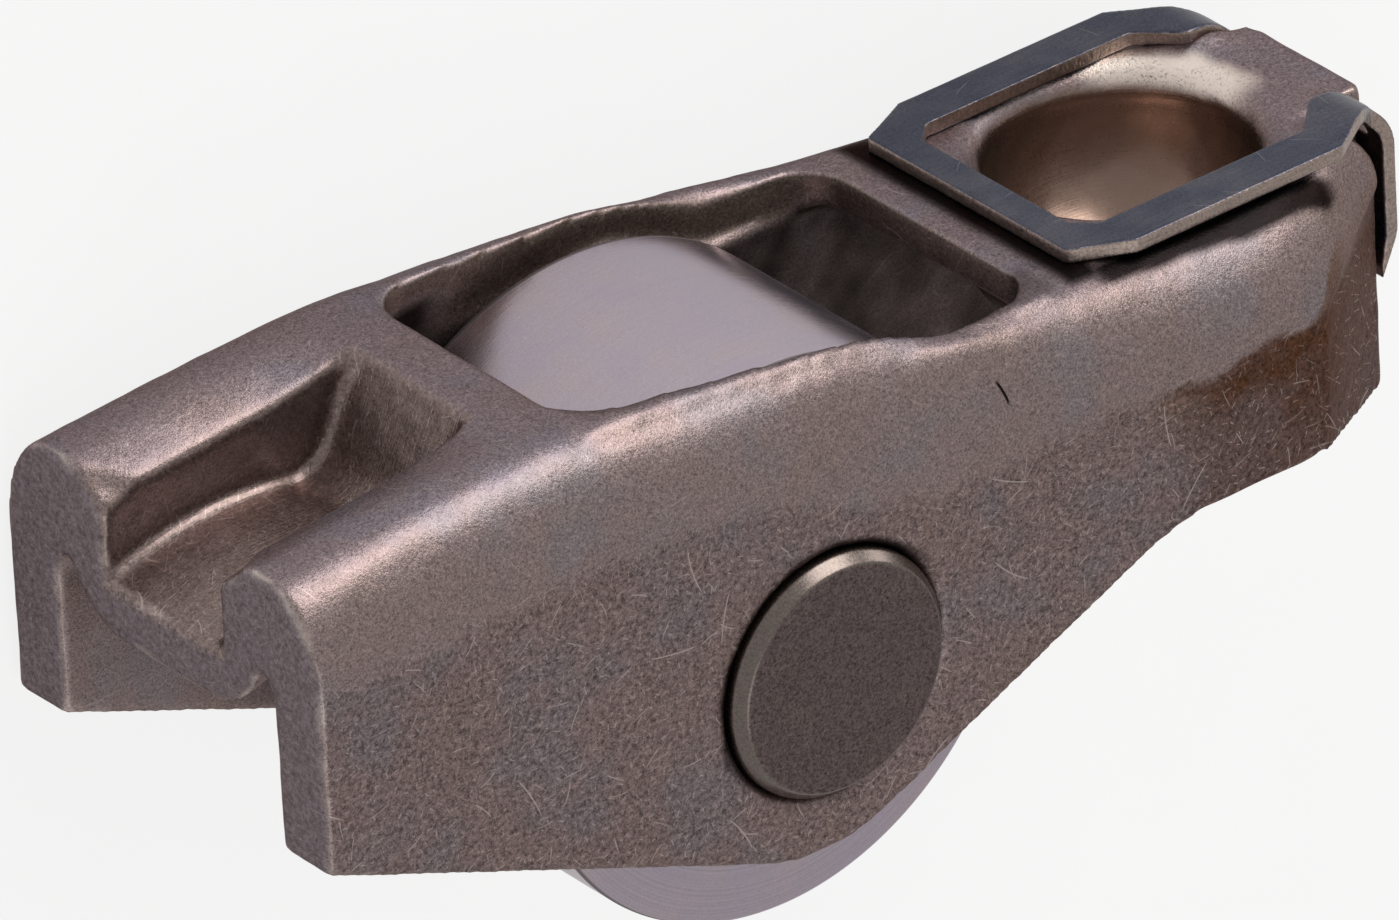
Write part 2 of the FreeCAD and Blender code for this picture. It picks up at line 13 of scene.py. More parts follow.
import bpy
import numpy as np
from mathutils import Matrix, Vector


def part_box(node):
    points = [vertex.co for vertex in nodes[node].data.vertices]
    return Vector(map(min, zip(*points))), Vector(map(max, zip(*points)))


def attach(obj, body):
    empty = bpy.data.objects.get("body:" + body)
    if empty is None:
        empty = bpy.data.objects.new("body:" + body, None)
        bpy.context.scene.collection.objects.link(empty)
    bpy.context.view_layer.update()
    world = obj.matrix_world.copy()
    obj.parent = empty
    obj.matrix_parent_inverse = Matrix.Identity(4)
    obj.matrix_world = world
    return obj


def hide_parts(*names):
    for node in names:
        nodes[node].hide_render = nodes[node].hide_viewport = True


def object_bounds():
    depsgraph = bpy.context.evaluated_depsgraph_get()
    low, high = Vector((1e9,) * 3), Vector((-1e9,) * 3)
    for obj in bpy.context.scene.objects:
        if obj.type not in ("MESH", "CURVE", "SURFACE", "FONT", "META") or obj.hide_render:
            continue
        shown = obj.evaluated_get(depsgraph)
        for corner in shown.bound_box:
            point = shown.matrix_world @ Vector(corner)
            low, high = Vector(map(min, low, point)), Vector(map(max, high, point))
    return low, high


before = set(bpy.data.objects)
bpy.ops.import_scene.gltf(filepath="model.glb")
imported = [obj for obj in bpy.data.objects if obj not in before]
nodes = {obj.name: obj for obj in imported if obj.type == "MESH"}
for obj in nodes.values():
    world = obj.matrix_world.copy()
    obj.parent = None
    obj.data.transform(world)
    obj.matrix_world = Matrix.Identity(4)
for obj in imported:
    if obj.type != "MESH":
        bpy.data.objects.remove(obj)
cad_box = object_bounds()
scene = bpy.context.scene
scene.view_settings.view_transform = "Standard"
MM = 0.001
print("nodes:", len(nodes), "box in mm:", [[round(v / MM, 2) for v in corner] for corner in cad_box])

# %% [markdown]
# ## The camera
#
# A product photographer uses a long lens from far away, so that the part hardly narrows towards
# the back. The camera's place and its three directions were worked out from the round axle, the
# round roller and the straight edges, so they are given here as plain vectors instead of angles.

# %% Camera
def standing(axes, place):
    """Matrix of an object whose own three axes are these columns, at a place in metres."""
    return Matrix(np.column_stack([axes, place]).tolist() + [[0, 0, 0, 1]])


camera_place = np.array([-417.80, 410.91, 544.62]) * MM
camera_right = (0.77486, -0.04595, 0.63046)
camera_down = (-0.3525, -0.8593, 0.37061)
camera_forward = (0.52472, -0.50941, -0.68203)
sensor_width, lens_length = 36.0, 617.1

camera = bpy.data.objects.new("camera", bpy.data.cameras.new("camera"))
scene.collection.objects.link(camera)
camera.data.sensor_width = sensor_width
camera.data.sensor_fit = "HORIZONTAL"
camera.data.lens = lens_length
camera.data.clip_start = 0.05
camera.data.clip_end = 10.0
# Blender's camera has +y up and looks along its own -z, so down and forward change sign.
camera_axes = np.array([camera_right, camera_down, camera_forward]).T
camera_axes[:, 1:] *= -1
camera.matrix_world = standing(camera_axes, camera_place)
scene.camera = camera
print("camera distance in mm:", round(float(np.linalg.norm(camera_place)) / MM))

# %% [markdown]
# ## From sharp solid to tumbled steel
#
# A pressed arm has no sharp edges left: it is tumbled with stones until every corner is a small
# rounding. Bevelling hundreds of curved edges by hand would be slow and fragile. Instead a copy of
# the solid is rebuilt as an even net of small squares, whose side follows from the piece's own
# surface, and that net is then relaxed. Flat and gently curved faces stay where they are, and only
# the corners give way, as they do in the drum.

# %% A solid's copy as an even net
def as_arrays(mesh):
    """Corner places (n, 3) and face corners (m, 4) of a mesh made of quads."""
    places = np.empty(len(mesh.vertices) * 3)
    mesh.vertices.foreach_get("co", places)
    corners = np.empty(len(mesh.loops), dtype=np.int64)
    mesh.loops.foreach_get("vertex_index", corners)
    return places.reshape(-1, 3), corners.reshape(-1, 4)


def even_net(node, squares):
    """A copy of one solid, in mm, rebuilt as equal squares of side sqrt(area / squares)."""
    source = bpy.data.meshes.new_from_object(node)
    source.transform(Matrix.Scale(1 / MM, 4))
    area = sum(face.area for face in source.polygons)
    side = math.sqrt(area / squares)
    carrier = bpy.data.objects.new("carrier", source)
    scene.collection.objects.link(carrier)
    merge = carrier.modifiers.new("merge", "WELD")
    merge.merge_threshold = 0.001
    rebuild = carrier.modifiers.new("rebuild", "REMESH")
    rebuild.mode = "VOXEL"
    rebuild.voxel_size = side
    graph = bpy.context.evaluated_depsgraph_get()
    net = bpy.data.meshes.new_from_object(carrier.evaluated_get(graph))
    places, quads = as_arrays(net)
    # Removing the source mesh takes its carrier with it.
    for mesh in (net, source):
        bpy.data.meshes.remove(mesh)
    print(node.name, "area", round(area), "mm2, squares", len(quads), "of", round(side, 3), "mm")
    return places, quads


arm_squares, clip_squares = 92000, 45000
arm_places, arm_quads = even_net(nodes["arm"], arm_squares)
clip_places, clip_quads = even_net(nodes["retaining_clip"], clip_squares)

# %% [markdown]
# ## Relaxing the net, and reading it
#
# Relaxing moves every corner part of the way towards the middle of its neighbours. The same step,
# carried further on a copy, also tells where a rub would reach: where the relaxed copy sinks below
# the surface there is an outside corner, and where it rises above it there is a hollow.

# %% Relaxing and measuring a net
def relaxed(places, quads, rounds, pull=0.5):
    """Each round: place + pull * (mean of the places one edge away - place)."""
    first = quads.ravel()
    second = np.roll(quads, -1, axis=1).ravel()
    ends = np.concatenate([first, second])
    others = np.concatenate([second, first])
    share = np.bincount(ends, minlength=len(places))[:, None]
    places = places.copy()
    for _ in range(rounds):
        moved = np.stack([np.bincount(ends, places[others, i], len(places)) for i in range(3)], axis=1)
        places += pull * (moved / share - places)
    return places


def facing(places, quads):
    """Unit normal at each corner: the cross products of its faces' diagonals, added up."""
    diagonal_a = places[quads[:, 2]] - places[quads[:, 0]]
    diagonal_b = places[quads[:, 3]] - places[quads[:, 1]]
    across = np.cross(diagonal_a, diagonal_b).repeat(4, axis=0)
    corners = quads.ravel()
    total = np.stack([np.bincount(corners, across[:, i], len(places)) for i in range(3)], axis=1)
    return total / np.maximum(np.linalg.norm(total, axis=1, keepdims=True), 1e-9)


def proudness(places, quads, rounds):
    """How far each corner stands above a strongly relaxed copy, in mm: + outside, - in a hollow."""
    return ((places - relaxed(places, quads, rounds)) * facing(places, quads)).sum(axis=1)


clip_soft = relaxed(clip_places, clip_quads, rounds=2)
print("clip corners moved by up to", round(float(np.abs(clip_soft - clip_places).max()), 2), "mm")

# %% [markdown]
# ## Rounding the arm
#
# Where the arm's surface slants, the fresh net has small steps. Relaxing it and then pushing it
# back by slightly more takes the steps out and leaves the form its size. The window's near rim is
# seen edge on, so it is also drawn straight and lifted a little until it hides the roller's edge.
# Under the clip's far hook the arm is shielded by the clip: there the net keeps its place, and
# beside it the nose swells a little towards the hook that presses on it.

# %% Evening, straightening and rounding
rim_lift = 0.16
nose_x, nose_z, nose_swell = 26.0, -3.5, 0.55


def ramp(values, low, high):
    """0 below low, 1 above high, and a smooth step between, 3 t^2 - 2 t^3."""
    t = np.clip((values - low) / (high - low), 0.0, 1.0)
    return t * t * (3 - 2 * t)


def fall(values, low, high):
    """1 below low, 0 above high: the same smooth step the other way round."""
    return ramp(-values, -high, -low)


def evened(places, quads, rounds, push=-0.52):
    """Steps of the net taken out without shrinking: each round relaxes by 0.5, then by push."""
    for _ in range(rounds):
        places = relaxed(relaxed(places, quads, 1), quads, 1, push)
    return places


def straight_crest(x, y, part, bin_size=0.2, reach=1.5):
    """How far to lift each corner: (highest y in a bin of x, averaged over reach) - (that y)."""
    bins = np.clip(np.round((x - x.min()) / bin_size).astype(int), 0, None)
    count = bins.max() + 1
    crest = np.full(count, -np.inf)
    np.maximum.at(crest, bins[part], y[part])
    known = np.isfinite(crest)
    crest = np.interp(np.arange(count), np.flatnonzero(known), crest[known])
    offsets = np.arange(-3 * reach, 3 * reach, bin_size)
    weights = np.exp(-(offsets / reach) ** 2)
    edge = len(offsets) // 2
    padded = np.pad(crest, (edge, len(offsets) - 1 - edge), mode="edge")
    return (np.convolve(padded, weights / weights.sum(), mode="valid") - crest)[bins]


def under_hook(places):
    """1 where the clip's far hook covers the arm, 0 elsewhere."""
    x, y, z = places.T
    return ramp(x, 18.5, 19.5) * ramp(-z, 1.5, 2.5) * ramp(y, 7.2, 8.0)


def rounded_arm(places, quads):
    """Evened and relaxed, then the window's near rim, the hook's seat and the nose in their turn."""
    x, y, z = places.T
    soft = relaxed(evened(places, quads, rounds=14), quads, rounds=2)
    rim = ramp(z, 4.0, 4.8) * fall(z, 6.4, 6.9) * ramp(x, -8.8, -7.8) * fall(x, 11, 12) * ramp(y, 8, 9)
    soft += rim[:, None] * (evened(soft, quads, rounds=8) - soft)
    lift = straight_crest(soft[:, 0], soft[:, 1], rim > 0.3) * fall(x, 2.1, 3.6) + rim_lift
    soft += (lift * rim)[:, None] * (0, 1, 0)
    soft += under_hook(places)[:, None] * (places - soft)
    from_nose = ((x - nose_x) / 1.0) ** 2 + ((z - nose_z) / 1.1) ** 2
    swell = nose_swell * np.exp(-from_nose) * ramp(y, 6.8, 7.8)
    return soft + swell[:, None] * (0, 1, -0.15)


arm_soft = rounded_arm(arm_places, arm_quads)
print("arm corners moved by up to", round(float(np.abs(arm_soft - arm_places).max()), 2), "mm")

# %% [markdown]
# ## Lumps that never repeat
#
# Chipped rims and hand-sized variation need random numbers that are smooth in space and the same on
# every run. A few dozen plane waves of random direction, added up, give that with no table and no
# grid: the sum looks like weathered metal, and its scale is simply the waves' length.

# %% Smooth random fields
def lumps(places, size, seed, waves=40):
    """Sum of cosines of random direction and phase, lengths near size mm; most of it in -1..1."""
    rng = np.random.default_rng(seed)
    way = rng.normal(size=(waves, 3))
    way /= np.linalg.norm(way, axis=1, keepdims=True)
    way *= 2 * np.pi / (size * rng.uniform(0.7, 1.5, (waves, 1)))
    phase = rng.uniform(0, 2 * np.pi, waves)
    total = np.zeros(len(places))
    for direction, start in zip(way, phase):
        total += np.cos(places @ direction + start)
    return total / math.sqrt(waves)


# %% [markdown]
# ## Where things are on the arm
#
# These are the places that the finishes and the marks of use refer to, in mm from the axle's
# middle. The pieces' boxes come from the frame, and the rest are the construction's own sizes. Only
# the window's two reaches are rough: about half its length and half its width.

# %% Places on the arm
def box_mm(node):
    """Low and high corner of one solid's box, in mm."""
    return np.array([list(corner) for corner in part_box(node)]) / MM


arm_box = box_mm("arm")
front_face_x, top_y = arm_box[0, 0], arm_box[1, 1]
socket, socket_radius = np.array([19.7, 7.9, 0.0]), 4.65
platform_y, facet_x, inner_wall_z = 9.1, 21.4, 5.75
slot_half, slot_end_x = 3.1, -10.5
crease_front_y, crease_rear_y, crease_turn = 7.8, 4.85, 6.0
window_x, window_reach_x, window_reach_z = 1.3, 10, 6
print("arm box in mm:", arm_box.round(2).tolist())

# %% [markdown]
# ## The marks that a real arm carries
#
# The press tears the slot's rim a little where the punch leaves it, and the drum knocks the crests
# uneven. Both are moves along the surface's own normal, nearly all of them inwards, as wear is. The
# torn rim only moves corners that stand proud, near the slot's mouth.

# %% Torn rims and dents
dent_depth, pit_depth, tear_depth = 0.010, 0.006, 0.26


def arm_marks(places, quads):
    """New places: place - normal * (waves + torn rim), every part worked out per corner."""
    x, y, z = places.T
    side = np.abs(z)
    waves = dent_depth * (1 + lumps(places, 2.6, 3)) + pit_depth * (1 + lumps(places, 0.9, 4))
    by_slot = fall(x, slot_end_x, slot_end_x + 1.5) * fall(side, slot_half + 0.4, slot_half + 0.9)
    sharp = ramp(proudness(places, quads, rounds=14), 0.08, 0.22)
    chipped = 0.03 + tear_depth * ramp(lumps(places, 0.5, 5), -0.4, 1.3)
    torn = by_slot * ramp(y, 6.6, 7.2) * sharp * chipped
    depth = (waves + torn) * (1 - under_hook(places))
    return places - facing(places, quads) * depth[:, None]


arm_final = arm_marks(arm_soft, arm_quads)
print("deepest mark", round(float(np.linalg.norm(arm_final - arm_soft, axis=1).max()), 3), "mm")

# %% [markdown]
# ## Handing the net over to Blender
#
# A finished piece is one mesh with its place in its own corners. What the finish needs to know
# about each corner, such as how worn it is, travels with it as named values that the material
# reads back. Every named value runs from 0 to 1. Pushing the net back and forth leaves a few corners
# a hundredth of a millimetre out of the solid's box, so each net is first brought back to it.

# %% From arrays to a piece
def kept_inside(places, node):
    """The places, brought back to the box of the solid they replace where they stood out of it."""
    return np.clip(places, *box_mm(node))


def add_piece(name, places, faces, body, replaced, fields=None):
    """One smooth-shaded piece in metres from places in mm, with its named values."""
    mesh = bpy.data.meshes.new(name)
    mesh.from_pydata((places * MM).tolist(), [], faces)
    mesh.polygons.foreach_set("use_smooth", np.ones(len(faces), dtype=bool))
    for field_name, values in (fields or {}).items():
        layer = mesh.attributes.new(field_name, "FLOAT", "POINT")
        layer.data.foreach_set("value", values.astype(np.float32))
    mesh.update()
    piece = bpy.data.objects.new(name, mesh)
    scene.collection.objects.link(piece)
    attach(piece, body)
    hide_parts(replaced)
    return piece


# %% [markdown]
# ## Painted shade, painted highlight and heat tint on the arm
#
# The finish changes from place to place. The walls of the roller's window see little light, and
# that shade is painted on them. Painted shadow lies along the clip's bars and under its front bar,
# and a ring of painted shade lies round the axle's end. A collar behind the socket is painted bright
# as a highlight, and hardening the socket left a brown heat tint below the crease beside it. Each of
# these is one small formula.

# %% Values by place
def by_window(places, out):
    """Three values at the window: its walls, its near rim, and where its corners stay unrubbed."""
    x, y, z = places.T
    side = np.abs(z)
    # A wall of the window faces its middle, so its normal points against the way out from there.
    inwards = -(out[:, 0] * (x - window_x) / window_reach_x + out[:, 2] * z / window_reach_z)
    walls = ramp(inwards, 0.25, 0.55) * fall(out[:, 1], 0.4, 0.7) * ramp(y, 7.2, 7.8)
    walls *= ramp(x, -9.4, -9.2) * fall(x, 12.0, 12.2) * fall(side, 6.7, 6.9)
    near_rim = ramp(z, 4.2, 4.8) * fall(side, 6.3, 6.7) * ramp(x, -8.6, -7.4) * fall(x, 11.0, 12.0)
    unrubbed = fall(side, 6.9, 7.4) * ramp(x, -9.8, -9.4) * fall(x, 12.2, 12.6)
    at_top = ramp(y, 7.5, 8.5)
    return walls, near_rim * at_top, unrubbed * at_top


def painted_gap_shadows(places, uneven):
    """Painted shadow: along the clip's side bars, under its front bar, and in a ring round the axle's
    end.
    """
    x, y, z = places.T
    side = np.abs(z)
    # Painted shadow where the clip's side bars and front bar stand over the arm.
    bar_edge = 6.55 + 0.3 * np.exp(-((x - 20.4) / 2.2) ** 2) + 0.03 * uneven
    side_bar = ramp(side, 5.6, 5.9) * fall(side - bar_edge, -0.14, 0.16) * ramp(y, 7.4, 7.8)
    side_bar *= ramp(x, 12.6, 14.0) * fall(x, 23.4, 24.6)
    front_bar = ramp(x, 12.0, 12.6) * fall(x, 13.5, 14.0) * ramp(y, 8.5, 8.8) * fall(side, 6.0, 6.5)
    # A ring of painted shade round the axle's end, stronger on one side.
    ring = fall(np.hypot(x, y) - 0.1 * uneven, 4.75, 5.05) * ramp(side, 7.6, 7.8)
    ring *= 0.12 + 0.88 * ramp(0.88 * y - 0.48 * x, -1.2, 1.8)
    return np.maximum.reduce([side_bar, front_bar, 0.8 * ring])


def behind_socket(places, out, uneven):
    """The painted highlight: part of a ring round the socket's mouth, on its rear and far side."""
    x, y, z = places.T
    from_mouth = np.hypot(x - socket[0], z)
    ring = ramp(from_mouth, 4.3, 4.5) * fall(from_mouth - 0.2 * uneven, 5.45, 6.35)
    rear_and_far = ramp(x, 21.4, 22.6) * fall(z, -0.6, 1.0)
    return ring * rear_and_far * ramp(out[:, 1], 0.3, 0.6) * ramp(y, 8.0, 8.4)


def browned(places, uneven):
    """Heat tint: a soft band at y = 4.1 that widens behind the socket and ends at the crease."""
    x, y, _ = places.T
    band = np.exp(-((y - 4.1 - 0.3 * uneven) / 0.95) ** 2) * ramp(x, 12.5, 18.5)
    rear = 0.75 * ramp(x + 0.5 * uneven, 18.5, 20.8) * ramp(y, -1.5, 3.0)
    below_crease = ramp(4.95 + 0.12 * uneven - y + 1.8 * ramp(x, 20.8, 23.0), 0.0, 0.25)
    return np.maximum(band, rear) * below_crease * (1 - 0.75 * ramp(x, 21.6, 24.5))


# %% [markdown]
# ## What each corner of the arm is
#
# Outside corners are rubbed bright, partly wear and partly painted highlight, and hollows are
# darkened by painted shade and dirt. The flat that the press leaves on the side wall lies deeper in
# the drum's shadow and stays dark, darkest towards the rear, where the furnace smoked it. The front
# end and the lower edges are cut faces, the slot's floor is ground, the socket is polished, and the
# inside of the channel is painted near black as shade. Faces that look up are painted a little
# darker as shade.

# %% Named values for the arm
def arm_fields(places, quads):
    """Each value is a product of smooth steps in x, y and distance from the middle plane."""
    out = facing(places, quads)
    x, y, z = places.T
    side, outwards = np.abs(z), np.abs(out[:, 2])
    proud = proudness(places, quads, rounds=10)
    uneven = lumps(places, 1.6, 8)
    window_walls, near_rim, unrubbed = by_window(places, out)
    collar_highlight = behind_socket(places, out, uneven)

    crease = crease_front_y + (crease_rear_y - crease_front_y) * ramp(x, -crease_turn, crease_turn)
    crease_width = 0.4 - 0.3 * ramp(x, 10, 17)
    below = ramp((crease + 0.15 * uneven - y) / crease_width, -1, 1)
    inner_side = np.clip(inner_wall_z - 0.1 - 0.72 * (x - facet_x), 0, inner_wall_z)
    wall = ramp(outwards, 0.72, 0.8) * ramp(side - inner_side, 0.2, 0.6)
    crest = top_y - (top_y - platform_y) * ramp(x, -1.0, 11.5)
    dark_below = np.where(x > -8.9, crest - 1.2, platform_y - 1.3)
    facet = ramp(out[:, 0], 0.4, 0.5) * ramp(outwards, 0.6, 0.75) * ramp(x, 21, 21.6)
    in_slot = fall(x, slot_end_x - 0.1, slot_end_x + 0.1) * ramp(y, 6.9, 7.2)
    in_slot *= fall(side, slot_half + 0.05, slot_half + 0.25)
    in_slot *= ramp(out[:, 1] + np.abs(out[:, 0]), -0.1, 0.2)
    front_cut = fall(x, front_face_x + 0.12, front_face_x + 0.35) * ramp(-out[:, 0], 0.6, 0.9)
    lower_cut = ramp(-out[:, 1], 0.75, 0.95) * ramp(side, 5.6, 5.9)
    from_socket = np.linalg.norm(places - socket, axis=1)
    in_cup = fall(from_socket, socket_radius + 0.05, socket_radius + 0.35)
    in_cup *= fall(y, platform_y - 0.9, platform_y - 0.3)
    inside = fall(side, inner_side - 0.03, inner_side + 0.12) * ramp(x, -18.0, -8.5)
    inside *= fall(y, dark_below - 0.35, dark_below + 0.25) * fall(x, 25.1, 25.4)
    return {
        # Rubbed corners: partly wear and partly painted highlight along the edges.
        "worn": (ramp(proud + 0.02 * uneven + 0.022 * fall(x, -20.0, -19.0), 0.08, 0.17)
                 * (1 - 0.85 * unrubbed)),
        # Painted shade: faces that look up are made darker and cooler.
        "level_top": ramp(out[:, 1], 0.7, 0.93) * (1 - collar_highlight) * (1 - in_slot),
        "window_wall": window_walls,
        # A painted highlight on the collar behind the socket.
        "collar_painted_highlight": collar_highlight,
        # Painted shade and dirt in the hollows, and painted shade on the window's near rim.
        "hollow": np.maximum(ramp(-proud, 0.05, 0.2), 0.45 * near_rim * ramp(-out[:, 2], -0.5, 0.1)),
        # Painted shadow under the clip's bars and round the axle's end.
        "gap_shadow": painted_gap_shadows(places, uneven),
        "smoked": np.maximum(facet * fall(y, 4.8, 6.4), 0.85 * wall * below * ramp(x, 13.5, 17.5)),
        "pressed_flat": wall * below,
        "heat_tint": browned(places, uneven) * wall,
        "cut_face": np.maximum(front_cut, lower_cut),
        "ground_slot": in_slot,
        "polished_cup": in_cup,
        # Painted shade: the inside of the channel is made near black.
        "inside": inside,
    }


arm_values = arm_fields(arm_final, arm_quads)
arm_piece = add_piece("rocker_arm_body", kept_inside(arm_final, "arm"), arm_quads.tolist(),
                      "arm_body", "arm", arm_values)
print({name: round(float(values.mean()), 3) for name, values in arm_values.items()})

# %% [markdown]
# ## The clip
#
# The clip is blanked from blue tempered spring strip, so its two rolled faces keep the blue oxide
# and its cut edges show the bare brownish steel, with the torn line that shearing leaves. Its net is
# made in the same way, but much finer and hardly relaxed. It carries how worn a corner is, how far
# it belongs to a cut edge, read from its normal, and how far it lies on the bent rear strap. On the
# flat frame a cut face stands along y; on the rear strap it faces sideways.

# %% The retaining clip
def clip_fields(places, quads):
    """cut_edge: 1 where the normal lies in the sheet's plane; hook: 1 on the bent rear strap."""
    out = facing(places, quads)
    strap = ramp(places[:, 0], 25.6, 26.8)
    level = np.hypot(out[:, 0] * strap, out[:, 1])
    proud = proudness(places, quads, rounds=8)
    return {
        "cut_edge": ramp(1 - level + 0.1 * lumps(places, 0.35, 11), 0.25, 0.6),
        "worn": ramp(proud + 0.006 * lumps(places, 0.5, 12), 0.03, 0.08),
        "hook": ramp(places[:, 0], 26.3, 27.6),
    }


clip_wave_depth, clip_tear_depth = 0.003, 0.035


def clip_marks(places, quads):
    """Places moved along the normal by small waves, and inwards at the sheared edges."""
    waves = clip_wave_depth * (1 + lumps(places, 1.2, 14))
    edge = ramp(proudness(places, quads, rounds=8), 0.02, 0.07)
    depth = waves + clip_tear_depth * edge * ramp(lumps(places, 0.4, 15), 0.4, 1.4)
    return places - facing(places, quads) * depth[:, None]


clip_final = clip_marks(clip_soft, clip_quads)
clip_piece = add_piece("spring_clip", kept_inside(clip_final, "retaining_clip"), clip_quads.tolist(),
                       "arm_body", "retaining_clip", clip_fields(clip_final, clip_quads))
print("clip triangles:", 2 * len(clip_quads))

# %% [markdown]
# ## Turned and ground pieces
#
# The axle, the roller and the needles are turned and ground, so each is one profile swept round an
# axis. The profile is a short list of (radius, height) stops with a rounding at each; the rounding
# and the sweep are both worked out as whole arrays.

# %% Sweeping a profile round an axis
def rounded_profile(stops, steps=7):
    """Stops (radius, height, rounding): an inner one becomes (1-t)^2 a + 2t(1-t) b + t^2 c."""
    stops = np.array(stops, dtype=float)
    t = np.linspace(0, 1, steps)[:, None]
    rows = [stops[:1, :2]]
    for before, here, after in zip(stops[:-2], stops[1:-1], stops[2:]):
        pull_back = (before[:2] - here[:2]) / np.linalg.norm(before[:2] - here[:2])
        pull_on = (after[:2] - here[:2]) / np.linalg.norm(after[:2] - here[:2])
        a, b, c = here[:2] + pull_back * here[2], here[:2], here[:2] + pull_on * here[2]
        rows.append((1 - t) ** 2 * a + 2 * t * (1 - t) * b + t ** 2 * c)
    rows.append(stops[-1:, :2])
    return np.concatenate(rows)


def swept_round(profile, sides, closed):
    """Corner (r cos a, r sin a, h) for each profile point and angle; a pole is one shared corner."""
    angles = np.arange(sides) * 2 * np.pi / sides
    radius, height = profile[:, :1], profile[:, 1:]
    grid = np.stack([radius * np.cos(angles), radius * np.sin(angles), height + 0 * angles], axis=2)
    rows = len(profile)
    index = np.arange(rows * sides).reshape(rows, sides)
    if not closed:
        index[0] = index[0, 0]
        index[-1] = index[-1, 0]
    above = np.roll(index, -1, axis=0) if closed else index[1:]
    here = index if closed else index[:-1]
    beside, beside_above = np.roll(here, -1, axis=1), np.roll(above, -1, axis=1)
    return grid.reshape(-1, 3), np.stack([here, beside, beside_above, above], axis=2).reshape(-1, 4)


def add_turned(name, profile, sides, body, node, closed=False, centre=0.0, angle=0.0):
    """A swept piece, moved out from the axle by centre and turned about it by angle."""
    places, faces = swept_round(profile, sides, closed)
    used = np.unique(faces)
    number = np.full(len(places), -1)
    number[used] = np.arange(len(used))
    x, y, z = (places[used] + [centre, 0, 0]).T
    cos, sin = math.cos(angle), math.sin(angle)
    turned = np.stack([x * cos - y * sin, x * sin + y * cos, z], axis=1)
    # At a pole two of a face's corners are one, so the square becomes a triangle.
    corners = [list(dict.fromkeys(face)) for face in number[faces].tolist()]
    return add_piece(name, turned, corners, body, node)


# %% [markdown]
# ## The axle
#
# Both ends of the axle stand half a millimetre out of the walls. The chamfer round each end is
# ground, with a crisp but not sharp corner on both sides of it, and the end face itself is matt.

# %% Axle
axle_radius, axle_half = box_mm("axle")[1, [0, 2]]
axle_sides = 160
end_chamfer, end_chamfer_length, end_corner = 0.36, 0.47, 0.12
axle_stops = [(0, -axle_half, 0), (axle_radius - end_chamfer, -axle_half, end_corner),
              (axle_radius, end_chamfer_length - axle_half, end_corner),
              (axle_radius, axle_half - end_chamfer_length, end_corner),
              (axle_radius - end_chamfer, axle_half, end_corner), (0, axle_half, 0)]
axle_piece = add_turned("axle_pin", rounded_profile(axle_stops), axle_sides, "arm_body", "axle")
print("axle", round(2 * axle_radius, 2), "mm across,", round(2 * axle_half, 2), "mm long")

# %% [markdown]
# ## The roller and its needles
#
# The roller is a ring, so its profile is closed: tread, side, race, side. The twenty needles fill
# the race side by side. They hardly show, but they are there, with their rounded ends, each on its
# own node, so that the bearing turns as the real one does.

# %% Roller and needles
roller_radius, roller_half = box_mm("roller")[1, [0, 2]]
roller_sides, needle_sides = 288, 24
needle_radius, needle_play, needle_set_back, needle_corner = 0.825, 0.02, 0.2, 0.3
race_radius = axle_radius + 2 * needle_radius + 2 * needle_play
needle_circle = axle_radius + needle_radius + needle_play
tread_corner, race_corner = 0.3, 0.15
ring_stops = [(race_radius, 0, 0), (race_radius, -roller_half, race_corner),
              (roller_radius, -roller_half, tread_corner), (roller_radius, roller_half, tread_corner),
              (race_radius, roller_half, race_corner), (race_radius, 0, 0)]
roller_piece = add_turned("roller_ring", rounded_profile(ring_stops)[:-1], roller_sides,
                          "roller_body", "roller", closed=True)

needle_names = sorted(name for name in nodes if name.startswith("needle_"))
needle_half = roller_half - needle_set_back
needle_stops = [(0, -needle_half, 0), (needle_radius, -needle_half, needle_corner),
                (needle_radius, needle_half, needle_corner), (0, needle_half, 0)]
needle_profile = rounded_profile(needle_stops, 5)
needle_pieces = [add_turned("bearing_" + name, needle_profile, needle_sides, "needle_set", name,
                            centre=needle_circle,
                            angle=i * 2 * math.pi / len(needle_names))
                 for i, name in enumerate(needle_names)]
print("roller", round(2 * roller_radius, 2), "mm across, needles:", len(needle_pieces))

# %% [markdown]
# ## A way to write finishes as sums
#
# A finish is a formula of place: so much grain, so much wear, a brown tint here. Node by node that
# formula is hard to read, so a node's output is wrapped once and then added, multiplied and mixed
# like a number. Anything wider than a number, such as a place or a colour, is handled per channel.

